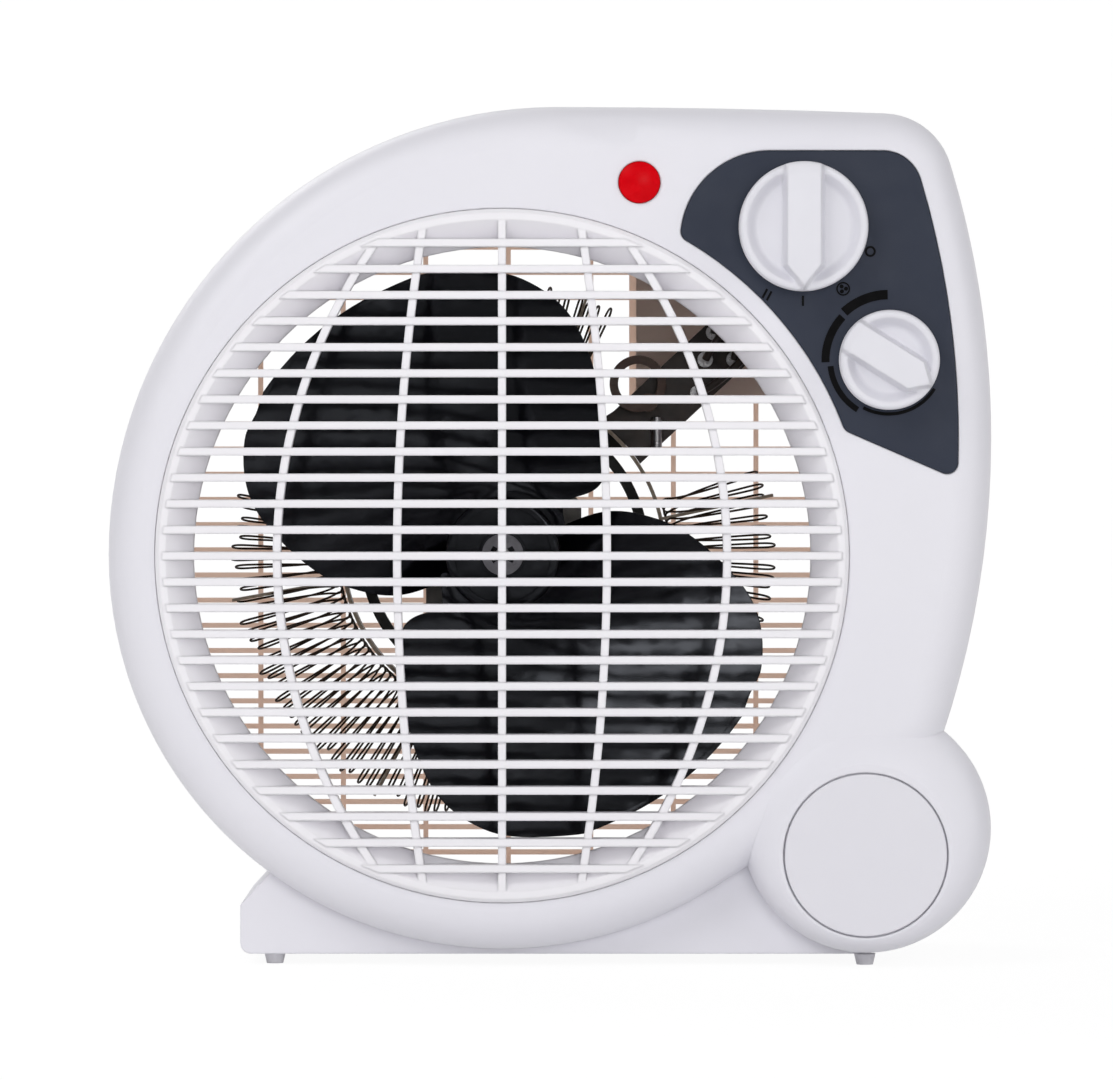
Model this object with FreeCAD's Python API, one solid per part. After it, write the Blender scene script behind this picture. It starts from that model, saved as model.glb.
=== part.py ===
import FreeCAD, Part
import math
import os

os.makedirs("parts", exist_ok=True)
V = FreeCAD.Vector

# Fan convector heater. Millimetres, X right and Z up seen from the front, front towards -Y.
# "Depth" is measured rearwards from the front face of the grille slats.

# ---- overall layout ----
KNOB_PROUD = 10.6            # knobs stand this far in front of the slats
BODY_DEPTH = 108.0           # slat face to back wall
FOOT_HEIGHT = 3.0
CORD_PROUD = 2.5             # cord bush flange behind the back wall
FRONT_Y = KNOB_PROUD - (KNOB_PROUD + BODY_DEPTH + CORD_PROUD) / 2.0
AXIS_X = -13.1               # fan axis
AXIS_Z = 113.7
DRUM_R = 109.0               # lower left of the housing, about the fan axis
CROWN_X = 1.9                # upper left quarter has its own centre
CROWN_R = 124.0
TOP_DROP = 1.7               # the top slopes down this much to the right
TOP_RUN = 89.0
SIDE_X = -136.8              # centre of the long right-hand arc
SIDE_Z = 146.0
SIDE_R = 259.0
CORNER_R = 19.6              # top right corner
CHIN_ANGLE = -58.0           # where the drum leaves for the right-hand side
CHIN_R = 10.0
WALL = 2.3
FASCIA_DEPTH = 2.0           # front face of the housing
SPLIT_DEPTH = 62.0           # seam between front and rear shells
FRONT_ROUND = 11.0
REAR_ROUND = 7.0

# ---- base ----
BASE_LEFT = -85.9
BASE_DEPTH = 17.0
BASE_SIDE_TOP = 16.5
BASE_SLANT_X = -77.0
BASE_SLANT_Z = 26.2
BASE_CORNER = 3.0
BASE_RIGHT = 88.0

# ---- round boss at the lower right ----
BOSS_X, BOSS_Z, BOSS_R = 87.7, 38.1, 34.4
BADGE_X, BADGE_Z, BADGE_R = 87.05, 31.3, 22.8
BOSS_SHOULDER = 13.0
BADGE_THICK = 1.8

# ---- front grille ----
RING_R = 95.7
RING_FIT = 0.15
RING_DEPTH = 0.5
OPENING_R = 85.2
BEZEL_SINK = 7.5
SLAT_PITCH = 7.18
SLAT_THICK = 2.2
SLAT_DEPTH = 8.0
SLAT_SIDE = 12
SLAT_END_R = 93.6
RIB_THICK = 2.2
RIB_INNER_X, RIB_INNER_R = 28.9, 578.0
RIB_OUTER_X, RIB_OUTER_R = 62.0, 150.0

# ---- duct, rear grille ----
DUCT_R = 97.0
DUCT_WALL = 1.8
SEAT_FIT = 0.1                # parts seated on a round wall stop this far short
REAR_OPEN_R = 95.0
REAR_RIM = 3.4
REAR_PITCH = 7.3
REAR_BAR = 1.4
REAR_RIB_PITCH = 23.9
REAR_RIB_SHIFT = 1.0         # the middle rib stands this far right of the fan axis
CORNER_LEFT = 24.9           # the upper right of the back wall is solid from here
CORNER_LOW = 158.2
SHIELD_THICK = 0.8
SHIELD_GAP = 1.0
REAR_FIT = 0.15
REAR_THICK = 3.0

# ---- control panel ----
PANEL_TOP = 225.2
PANEL_LOBE_X, PANEL_LOBE_Z, PANEL_LOBE_R = 60.5, 200.7, 24.5
PANEL_LOWER_R = 100.5
PANEL_SIDE_R = 249.3
PANEL_FOOT_X, PANEL_FOOT_Z, PANEL_FOOT_SLOPE = 109.0, 136.2, -23.4
PANEL_PROUD = 0.6
PANEL_SINK = 1.2
PANEL_FIT = 0.15
MODE_X, MODE_Z, MODE_R = 69.7, 204.2, 17.7
STAT_X, STAT_Z, STAT_R = 93.3, 167.6, 13.7
KNOB_GAP = 0.5
KNOB_SKIRT = 7.2
KNOB_RIM = 2.1
KNOB_SINK = 1.6
STAT_POINTER = 122.0
SPINDLE_R = 3.0
SPINDLE_FIT = 0.35
RUN_FIT = 0.05
MARK_THICK = 0.2
MODE_MARK_R = 20.3
MODE_OFF, MODE_FAN, MODE_HIGH = 70.0, 33.0, -28.0   # from straight down, towards the right
LAMP_X, LAMP_Z, LAMP_R = 24.7, 216.5, 5.7

# ---- fan and motor ----
HUB_R = 16.0
HUB_FRONT = 24.0
HUB_LENGTH = 22.0
HUB_WALL = 1.8
BLADE_THICK = 1.5
BLADE_FRONT = 26.0
BLADE_SWEEP = 20.0
SHAFT_R = 2.0
SHAFT_FRONT, SHAFT_BACK = 25.5, 85.0
BRACKET_THICK = 3.0
BRACKET_REACH = 5.0
BRACKET_HALF = 21.5
BEARING_R, BEARING_LENGTH = 4.0, 6.0
MOTOR_SCREW_X, MOTOR_SCREW_R, MOTOR_SCREW_FIT = 18.0, 1.6, 0.1
BORE_R = 6.5
NUT_R = 5.8
MOUNT_DEPTH = 82.0
MOUNT_THICK = 4.0
MOUNT_IN_R, MOUNT_OUT_R = 38.5, 41.5
ARM_WIDTH = 10.0
ARMS = ((50.0, 74.0, 42.0), (170.0, 66.0, 170.0), (290.0, 66.0, 290.0))   # root angle, reach, end angle
STACK_DEPTH = 60.0
STACK_THICK = 12.0
STACK_HALF = 22.0
STACK_TOP = 19.0
STACK_BOTTOM = -36.0
POLE_R = 13.2
ROTOR_R = 12.8
COIL_LEG = 10.0
COIL_HALF = 11.0
COIL_BUILD = 4.6
BOBBIN_WALL = 0.9

# ---- heating element ----
HEAT_IN_R = 47.5
HEAT_OUT_R = 75.0
HEAT_FRONT = 57.0
VANE_DEPTH = 10.0
VANE_THICK = 0.8
VANE_R = 78.0
POST_ANGLES = (100.0, 190.0, 300.0)
VANE_ANGLES = (72.0, 124.0, 190.0, 242.0, 310.0, 12.0)
WIRE = 0.7
HEAT_START = 64.0
HEAT_END = 380.0
HEAT_LEGS = 92
TERMINAL_ANGLE, TERMINAL_R, TERMINAL_WIDTH = 43.0, 92.0, 16.0
TERMINALS = ((86.0, 5.0), (79.0, 1.0), (85.0, -4.5), (71.0, -4.5))   # reach along the plate, aside
PLATE_THICK = 1.5
PLATE_DEPTH = 61.0
CUTOUT_ANGLE, CUTOUT_AT, CUTOUT_R, CUTOUT_LENGTH = 51.5, 61.0, 8.0, 5.5
PORT_ANGLE, PORT_WIDTH, PORT_DEPTH, PORT_LENGTH = 44.0, 22.0, 48.0, 14.0
PORT_SPREAD = 3.0
LEAD_R = 1.1

# ---- screws, cord inlet, feet ----
SCREWS = ((-13.0, 219.5), (100.0, 219.0), (103.0, 116.0), (-72.0, 200.0), (-76.0, 13.0), (62.0, 13.0))
POST_R = 4.2
SCREW_R = 1.5
SCREW_HEAD_R = 3.0
SCREW_HEAD = 2.0
SCREW_SEAT = 12.0
SCREW_LENGTH = 46.0
CORD_X, CORD_Z, CORD_HOLE_R = 84.0, 34.0, 6.0
CORD_BORE_R = 3.4
CORD_FLANGE_R = 8.5
FOOT_STEM_R = 1.5
FOOT_TOP_R = 3.0
FOOT_TIP_R = 2.3
FEET = ((-76.5, 23.5), (87.5, 18.0), (-76.5, 100.0), (80.0, 100.0))


def y_at(depth):
    return FRONT_Y + depth


def rod(x, z, depth, r, length):
    """Cylinder lying front to back."""
    return Part.makeCylinder(r, length, V(x, y_at(depth), z), V(0, 1, 0))


def tube(x, z, depth, r_out, r_in, length):
    return rod(x, z, depth, r_out, length).cut(rod(x, z, depth - 1, r_in, length + 2))


def block(x0, x1, d0, d1, z0, z1):
    return Part.makeBox(x1 - x0, d1 - d0, z1 - z0, V(x0, y_at(d0), z0))


def prism(points, depth, length):
    """Extrude an X, Z polygon rearwards."""
    ring = [V(x, y_at(depth), z) for x, z in points]
    ring.append(ring[0])
    return Part.Face(Part.makePolygon(ring)).extrude(V(0, length, 0))


def arc(x, z, r, a0, a1, depth):
    pts = []
    for a in (a0, (a0 + a1) / 2.0, a1):
        t = math.radians(a)
        pts.append(V(x + r * math.cos(t), y_at(depth), z + r * math.sin(t)))
    return Part.Arc(pts[0], pts[1], pts[2]).toShape()


def line(p, q, depth):
    return Part.makeLine(V(p[0], y_at(depth), p[1]), V(q[0], y_at(depth), q[1]))


def polar(r, a, x=AXIS_X, z=AXIS_Z):
    t = math.radians(a)
    return (x + r * math.cos(t), z + r * math.sin(t))


def turned(shape, angle, x=AXIS_X, z=AXIS_Z):
    """Copy turned about a front-to-back axis, counter-clockwise seen from the front."""
    out = shape.copy()
    out.rotate(V(x, 0, z), V(0, -1, 0), angle)
    return out


def fuse_all(shapes):
    out = shapes[0]
    if len(shapes) > 1:
        out = out.multiFuse(shapes[1:])
    return out.removeSplitter()


def save(name, shapes):
    if isinstance(shapes, list):
        shape = Part.makeCompound(shapes)
    else:
        shape = shapes
    solids = shape.Solids
    bad = [s for s in solids if not s.isValid()]
    print("%-22s %2d solid(s) %s" % (name, len(solids), "BAD" if bad else ""))
    if len(solids) == 1:
        shape = solids[0]
    else:
        shape = Part.makeCompound(solids)
    shape.exportStep("parts/%s.step" % name)


def edges_at_depth(shape, depth):
    y = y_at(depth)
    out = []
    for e in shape.Edges:
        b = e.BoundBox
        if abs(b.YMin - y) < 1e-4 and abs(b.YMax - y) < 1e-4:
            out.append(e)
    return out


# ---- housing outline ----

def drum_face(inset, depth):
    """Outline of the housing above the base, shrunk evenly by inset."""
    drum = DRUM_R - inset
    crown = CROWN_R - inset
    side = SIDE_R - inset
    corner = CORNER_R - inset
    chin = CHIN_R - inset
    top_r = TOP_RUN ** 2 / (2 * TOP_DROP)
    top_z = AXIS_Z + CROWN_R - top_r
    # the corner circle touches the top arc and the side arc from inside
    reach_top = top_r - CORNER_R
    reach_side = SIDE_R - CORNER_R
    gap_x, gap_z = SIDE_X - CROWN_X, SIDE_Z - top_z
    gap = math.hypot(gap_x, gap_z)
    along = (gap ** 2 + reach_top ** 2 - reach_side ** 2) / (2 * gap)
    aside = math.sqrt(reach_top ** 2 - along ** 2)
    cx = CROWN_X + (along * gap_x + aside * gap_z) / gap
    cz = top_z + (along * gap_z - aside * gap_x) / gap
    a_top = math.degrees(math.atan2(cz - top_z, cx - CROWN_X))
    a_side = math.degrees(math.atan2(cz - SIDE_Z, cx - SIDE_X))
    # the chin: a straight run off the drum, rounded into the side arc
    t = math.radians(CHIN_ANGLE)
    px, pz = AXIS_X + DRUM_R * math.cos(t), AXIS_Z + DRUM_R * math.sin(t)
    ux, uz = -math.sin(t), math.cos(t)
    qx, qz = px - uz * CHIN_R - SIDE_X, pz + ux * CHIN_R - SIDE_Z
    b = qx * ux + qz * uz
    c = qx ** 2 + qz ** 2 - (SIDE_R - CHIN_R) ** 2
    run = -b + math.sqrt(b * b - c)
    kx, kz = qx + run * ux + SIDE_X, qz + run * uz + SIDE_Z
    a_chin = math.degrees(math.atan2(kz - SIDE_Z, kx - SIDE_X))
    start = polar(drum, CHIN_ANGLE)
    end = (kx + uz * chin, kz - ux * chin)
    edges = [
        arc(AXIS_X, AXIS_Z, drum, 180, 360 + CHIN_ANGLE, depth),
        line(start, end, depth),
        arc(kx, kz, chin, CHIN_ANGLE, a_chin, depth),
        arc(SIDE_X, SIDE_Z, side, a_chin, a_side, depth),
        arc(cx, cz, corner, a_side, a_top, depth),
        arc(CROWN_X, top_z, top_r - inset, a_top, 90, depth),
        arc(CROWN_X, AXIS_Z, crown, 90, 180, depth),
    ]
    return Part.Face(Part.Wire(Part.__sortEdges__(edges)))


def base_block(inset, depth, length):
    r = BASE_CORNER - inset if BASE_CORNER > inset else 0.4
    left = BASE_LEFT + inset
    low = FOOT_HEIGHT + inset
    edges = [
        line((BASE_SLANT_X + inset, BASE_SLANT_Z), (left, BASE_SIDE_TOP), depth),
        line((left, BASE_SIDE_TOP), (left, low + r), depth),
        arc(left + r, low + r, r, 180, 270, depth),
        line((left + r, low), (BASE_RIGHT, low), depth),
        line((BASE_RIGHT, low), (BASE_RIGHT, 50.0), depth),
        line((BASE_RIGHT, 50.0), (-65.0, 50.0), depth),
        line((-65.0, 50.0), (BASE_SLANT_X + inset, BASE_SLANT_Z), depth),
    ]
    face = Part.Face(Part.Wire(Part.__sortEdges__(edges)))
    return face.extrude(V(0, length, 0))


def boss_solid(inset, length_to):
    """Domed round boss: circles that shrink and slide towards the badge."""
    steps = ((0.0, 1.0), (0.42, 0.93), (0.70, 0.74), (0.90, 0.45), (1.0, 0.12))
    rings = []
    for rise, share in steps:
        r = BADGE_R + (BOSS_R - BADGE_R) * share
        x = BADGE_X + (BOSS_X - BADGE_X) * share
        z = BADGE_Z + (BOSS_Z - BADGE_Z) * share
        depth = BOSS_SHOULDER * (1.0 - rise) + inset
        ring = Part.makeCircle(r - inset, V(x, y_at(depth), z), V(0, 1, 0))
        rings.append(Part.Wire(ring))
    dome = Part.makeLoft(rings, True, False)
    barrel = rod(BOSS_X, BOSS_Z, BOSS_SHOULDER + inset, BOSS_R - inset,
                 length_to - BOSS_SHOULDER - inset)
    return dome.fuse(barrel)


def housing(inset):
    front = FASCIA_DEPTH + inset
    back = BODY_DEPTH - inset
    drum = drum_face(inset, front).extrude(V(0, back - front, 0))
    drum = drum.makeFillet(FRONT_ROUND - inset, edges_at_depth(drum, front))
    drum = drum.makeFillet(REAR_ROUND - inset, edges_at_depth(drum, back))
    base = base_block(inset, BASE_DEPTH + inset, back - BASE_DEPTH - inset)
    return drum, base, boss_solid(inset, back)


# ---- shells ----


def panel_prism(grow, depth, length):
    """Outline of the dial panel, grown evenly by grow."""
    plate = block(36.0 - 5, 130.0, depth, depth + length, 100.0, PANEL_TOP + grow)
    plate = plate.cut(rod(AXIS_X, AXIS_Z, depth - 1, PANEL_LOWER_R - grow, length + 2))
    plate = plate.common(rod(SIDE_X, SIDE_Z, depth, PANEL_SIDE_R + grow, length))
    lobe = block(0.0, PANEL_LOBE_X, depth - 1, depth + length + 1, 100.0, 300.0)
    lobe = lobe.cut(rod(PANEL_LOBE_X, PANEL_LOBE_Z, depth - 1, PANEL_LOBE_R + grow, length + 2))
    lobe = lobe.cut(block(PANEL_LOBE_X - PANEL_LOBE_R + 4, PANEL_LOBE_X + 1, depth - 2,
                          depth + length + 2, 90.0, PANEL_LOBE_Z))
    plate = plate.cut(lobe)
    t = math.radians(PANEL_FOOT_SLOPE)
    ux, uz = math.cos(t), math.sin(t)
    x0 = PANEL_FOOT_X + grow * uz
    z0 = PANEL_FOOT_Z - grow * ux
    below = prism([(x0 - 80 * ux, z0 - 80 * uz), (x0 + 40 * ux, z0 + 40 * uz),
                   (x0 + 40 * ux, z0 - 90), (x0 - 80 * ux, z0 - 90)], depth - 1, length + 2)
    plate = plate.cut(below)
    plate = sorted(plate.Solids, key=lambda s: s.Volume)[-1]
    for x, z, r in ((36.5, 200.0, 3.0), (82.0, 147.5, 3.0), (111.0, 136.0, 3.0), (98.0, 225.0, 11.0)):
        best = None
        for e in plate.Edges:
            box = e.BoundBox
            if box.YLength < length - 0.01 or box.XLength > 0.01 or box.ZLength > 0.01:
                continue
            gap = math.hypot(box.XMin - x, box.ZMin - z)
            if best is None or gap < best[0]:
                best = (gap, e)
        plate = plate.makeFillet(r + grow, [best[1]])
    return plate


def make_shells():
    outer = fuse_all(list(housing(0.0)))
    inner = fuse_all(list(housing(WALL)))
    duct = tube(AXIS_X, AXIS_Z, FASCIA_DEPTH + WALL - 0.5, DUCT_R + DUCT_WALL, DUCT_R,
                BODY_DEPTH - FASCIA_DEPTH - 2 * WALL + 1.0)
    posts = [rod(x, z, FASCIA_DEPTH + WALL - 0.5, POST_R, BODY_DEPTH - 2 * WALL - FASCIA_DEPTH + 1.0)
             for x, z in SCREWS[:4]]
    posts += [rod(x, z, BASE_DEPTH + WALL - 0.5, POST_R, BODY_DEPTH - 2 * WALL - BASE_DEPTH + 1.0)
              for x, z in SCREWS[4:]]
    shell = outer.cut(inner)
    shell = shell.multiFuse([duct.common(outer)] + posts)
    # front: ring seat, opening into the duct, panel recess, spindle and lamp holes, badge seat
    boss = boss_solid(0.0, 40.0)
    seat = rod(AXIS_X, AXIS_Z, FASCIA_DEPTH - 2, RING_R, 5.0)
    seat = seat.fuse(rod(AXIS_X, AXIS_Z, FASCIA_DEPTH, RING_R - 2.4, 10.0))
    shell = shell.cut(seat.cut(boss))
    shell = shell.cut(panel_prism(PANEL_FIT, FASCIA_DEPTH - 3, 3.0 + PANEL_SINK))
    shell = shell.cut(rod(MODE_X, MODE_Z, FASCIA_DEPTH - 1, 9.0, 10.0))
    shell = shell.cut(rod(STAT_X, STAT_Z, FASCIA_DEPTH - 1, 7.0, 10.0))
    shell = shell.cut(rod(LAMP_X, LAMP_Z, FASCIA_DEPTH - 3, LAMP_R + 0.15, 12.0))
    shell = shell.cut(rod(BADGE_X, BADGE_Z, -2.0, BADGE_R, 2.0 + BADGE_THICK))
    # back: opening for the rear grille, screw tunnels, cord inlet
    mouth = rod(AXIS_X, AXIS_Z, BODY_DEPTH - 14.0, REAR_OPEN_R + REAR_FIT, 20.0)
    keep = block(CORNER_LEFT + REAR_FIT, 90.0, BODY_DEPTH - WALL, BODY_DEPTH + 1,
                 CORNER_LOW + REAR_FIT, 220.0)
    shell = shell.cut(mouth.cut(keep))
    for x, z in SCREWS:
        tip = BODY_DEPTH - SCREW_SEAT - SCREW_LENGTH
        shell = shell.cut(rod(x, z, tip, SCREW_R, SCREW_LENGTH + 1.0))
        shell = shell.cut(rod(x, z, BODY_DEPTH - SCREW_SEAT, SCREW_HEAD_R + 0.2, SCREW_SEAT + 5.0))
    shell = shell.cut(rod(CORD_X, CORD_Z, BODY_DEPTH - 10.0, CORD_HOLE_R, 20.0))
    # port in the duct for the internal leads, then the foot stem holes
    port = block(AXIS_X + DUCT_R - 3, AXIS_X + DUCT_R + 4, PORT_DEPTH, PORT_DEPTH + PORT_LENGTH,
                 AXIS_Z - PORT_WIDTH / 2, AXIS_Z + PORT_WIDTH / 2)
    shell = shell.cut(turned(port, PORT_ANGLE))
    for x, d in FEET:
        shell = shell.cut(Part.makeCylinder(FOOT_STEM_R, 20.0, V(x, y_at(d), FOOT_HEIGHT - 1)))
    print("valid", shell.isValid())
    big = 400.0
    ahead = Part.makeBox(big, 200.0, big, V(-big / 2, y_at(SPLIT_DEPTH) - 200.0, -50.0))
    behind = Part.makeBox(big, 200.0, big, V(-big / 2, y_at(SPLIT_DEPTH), -50.0))
    for side, name in ((ahead, "front_shell"), (behind, "rear_shell")):
        half = shell.common(side)
        pieces = sorted(half.Solids, key=lambda s: s.Volume)
        print(name, [round(s.Volume) for s in pieces])
        save(name, pieces[-1])



def make_front_grille():
    rim = RING_R - RING_FIT
    back = FASCIA_DEPTH + 2.9
    section = [(rim, RING_DEPTH + 1.0), (rim - 1.0, RING_DEPTH), (rim - 3.0, RING_DEPTH),
               (OPENING_R, BEZEL_SINK), (OPENING_R, BEZEL_SINK + 3.0), (OPENING_R + 1.6, BEZEL_SINK + 3.0),
               (rim - 3.2, back), (rim, back)]
    pts = [V(AXIS_X + r, y_at(d), AXIS_Z) for r, d in section]
    pts.append(pts[0])
    ring = Part.Face(Part.makePolygon(pts)).revolve(V(AXIS_X, 0, AXIS_Z), V(0, 1, 0), 360)
    bars = []
    for k in range(-SLAT_SIDE, SLAT_SIDE + 1):
        z = AXIS_Z + k * SLAT_PITCH
        bars.append(block(AXIS_X - RING_R, AXIS_X + RING_R, 0.0, SLAT_DEPTH,
                          z - SLAT_THICK / 2, z + SLAT_THICK / 2))
    half = RIB_THICK / 2
    low, high = AXIS_Z - RING_R, AXIS_Z + RING_R
    bars.append(block(AXIS_X - half, AXIS_X + half, 0.6, SLAT_DEPTH, low, high))
    for side in (-1, 1):
        for x, r in ((RIB_INNER_X, RIB_INNER_R), (RIB_OUTER_X, RIB_OUTER_R)):
            bow = tube(AXIS_X + side * (x - r), AXIS_Z, 0.6, r + half, r - half, SLAT_DEPTH - 0.6)
            reach = block(AXIS_X, AXIS_X + side * RING_R, 0.0, 20.0, low, high) if side > 0 else \
                block(AXIS_X - RING_R, AXIS_X, 0.0, 20.0, low, high)
            bars.append(bow.common(reach))
    ends = rod(AXIS_X, AXIS_Z, 0.0, SLAT_END_R, SLAT_DEPTH)
    bars = [b.common(ends) for b in bars]
    cone = [(SLAT_END_R + 1.0, RING_DEPTH + 1.6), (OPENING_R, BEZEL_SINK + 1.5), (0.0, BEZEL_SINK + 1.5),
            (0.0, -1.0), (SLAT_END_R + 1.0, -1.0)]
    pts = [V(AXIS_X + r, y_at(d), AXIS_Z) for r, d in cone]
    pts.append(pts[0])
    room = Part.Face(Part.makePolygon(pts)).revolve(V(AXIS_X, 0, AXIS_Z), V(0, 1, 0), 360)
    bars = [b.common(room) for b in bars]
    grille = fuse_all([ring] + bars)
    grille = grille.cut(boss_solid(-RING_FIT, 40.0))
    save("front_grille", sorted(grille.Solids, key=lambda s: s.Volume)[-1])


def make_rear_grille():
    depth = BODY_DEPTH - REAR_THICK
    rim = tube(AXIS_X, AXIS_Z, depth, REAR_OPEN_R, REAR_OPEN_R - REAR_RIM, REAR_THICK)
    bars = []
    count = int(REAR_OPEN_R // REAR_PITCH)
    for k in range(-count, count + 1):
        z = AXIS_Z + k * REAR_PITCH
        bars.append(block(AXIS_X - REAR_OPEN_R, AXIS_X + REAR_OPEN_R, depth + 0.4, BODY_DEPTH,
                          z - REAR_BAR / 2, z + REAR_BAR / 2))
    for k in range(-3, 4):
        x = AXIS_X + REAR_RIB_SHIFT + k * REAR_RIB_PITCH
        bars.append(block(x - REAR_BAR / 2, x + REAR_BAR / 2, depth, BODY_DEPTH - 0.4,
                          AXIS_Z - REAR_OPEN_R, AXIS_Z + REAR_OPEN_R))
    disc = rod(AXIS_X, AXIS_Z, depth, REAR_OPEN_R - 1.0, REAR_THICK)
    grille = fuse_all([rim] + [b.common(disc) for b in bars])
    frame = block(CORNER_LEFT - 2.0, 90.0, depth, BODY_DEPTH, CORNER_LOW - 2.0, 220.0)
    corner = block(CORNER_LEFT, 90.0, depth - 1, BODY_DEPTH + 1, CORNER_LOW, 220.0)
    grille = grille.fuse(frame.common(disc)).cut(corner).removeSplitter()
    save("rear_grille", sorted(grille.Solids, key=lambda s: s.Volume)[-1])
    room = rod(AXIS_X, AXIS_Z, 0.0, DUCT_R - 2.0, 200.0)
    face = BODY_DEPTH - WALL - SHIELD_GAP - SHIELD_THICK
    shield = block(CORNER_LEFT, 90.0, face, face + SHIELD_THICK, CORNER_LOW, 220.0).common(room)
    for x, z in ((34.0, 188.0), (62.0, 166.0)):
        shield = shield.fuse(rod(x, z, face + SHIELD_THICK, 2.5, SHIELD_GAP))
    save("heat_shield", shield.removeSplitter())


def make_panel():
    front = FASCIA_DEPTH - PANEL_PROUD
    plate = panel_prism(0.0, front, PANEL_PROUD + PANEL_SINK)
    plate = plate.makeChamfer(0.35, edges_at_depth(plate, front))
    plate = plate.cut(rod(MODE_X, MODE_Z, front - 1, SPINDLE_R + SPINDLE_FIT, 6.0))
    plate = plate.cut(rod(STAT_X, STAT_Z, front - 1, SPINDLE_R + SPINDLE_FIT, 6.0))
    save("dial_panel", plate)
    marks = []
    d = front - MARK_THICK

    def put(shape, angle, x, z, r):
        """Put a mark drawn at the origin on a dial, with its foot outwards."""
        t = math.radians(angle)
        out = turned(shape, angle, 0, 0)
        out.translate(V(x + r * math.sin(t), 0, z - r * math.cos(t)))
        return out

    ring = tube(0, 0, d, 1.5, 0.95, MARK_THICK)
    one = block(-0.3, 0.3, d, d + MARK_THICK, -1.4, 1.4)
    marks.append(put(ring, MODE_OFF, MODE_X, MODE_Z, MODE_MARK_R - 0.6))
    marks.append(put(one, 0.0, MODE_X, MODE_Z, MODE_MARK_R))
    for dx in (-0.68, 0.68):
        two = one.copy()
        two.translate(V(dx, 0, 0))
        marks.append(put(two, MODE_HIGH, MODE_X, MODE_Z, MODE_MARK_R + 0.8))
    marks.append(put(tube(0, 0, d, 1.9, 1.5, MARK_THICK), MODE_FAN, MODE_X, MODE_Z, MODE_MARK_R))
    for turn in (0, 120, 240):
        blade = turned(rod(0, 0.78, d, 0.55, MARK_THICK), turn, 0, 0)
        marks.append(put(blade, MODE_FAN, MODE_X, MODE_Z, MODE_MARK_R))
    # wedge round the thermostat knob: four arcs that grow towards the top
    for a0, a1, r0, r1 in ((91.0, 133.0, 16.7, 19.3), (137.0, 182.0, 16.3, 18.5),
                           (186.0, 238.0, 15.3, 16.9), (242.0, 328.0, 14.4, 15.3)):
        swept = tube(STAT_X, STAT_Z, d, r1, r0, MARK_THICK)
        pts = [(STAT_X, STAT_Z)]
        steps = 6
        for i in range(steps + 1):
            pts.append(polar(30.0, a0 + (a1 - a0) * i / steps, STAT_X, STAT_Z))
        marks.append(swept.common(prism(pts, d - 1, MARK_THICK + 2)))
    save("dial_marks", marks)


def make_knob(name, x, z, r, bar, pointer):
    """Skirted knob with a raised grip bar; pointer is clockwise from straight up."""
    back = FASCIA_DEPTH - PANEL_PROUD - KNOB_GAP
    front = -KNOB_PROUD
    rim = back - KNOB_SKIRT
    body = rod(x, z, rim, r, KNOB_SKIRT)
    body = body.makeFillet(0.8, edges_at_depth(body, rim))
    body = body.cut(rod(x, z, rim - 1, r - KNOB_RIM, KNOB_SINK + 1))
    body = body.cut(rod(x, z, rim + KNOB_SINK + 2.0, r - 1.8, 20.0))
    h = bar / 2
    tip = r - 0.25
    bar_pts = [(x - h, z + r * 0.93), (x + h, z + r * 0.93), (x + h, z - r * 0.62), (x, z - tip),
               (x - h, z - r * 0.62)]
    grip = prism(bar_pts, front, rim + KNOB_SINK + 1.0 - front)
    grip = grip.makeChamfer(0.7, edges_at_depth(grip, front))
    cap = rim + KNOB_SINK + 2.0
    socket = tube(x, z, cap, SPINDLE_R + 2.0, SPINDLE_R, back - cap)
    knob = fuse_all([body, grip.common(rod(x, z, front, r, 40.0)), socket])
    save(name, turned(knob, 180.0 - pointer, x, z))


def make_spindle(name, x, z, reach):
    rim = FASCIA_DEPTH - PANEL_PROUD - KNOB_GAP - KNOB_SKIRT
    top = rim + KNOB_SINK + 2.0
    pin = rod(x, z, top, SPINDLE_R, reach - top)
    save(name, pin)


SWITCH_LENGTH = 20.0
SWITCH_HALF = 12.5
STAT_BODY_HALF = 9.0


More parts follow.
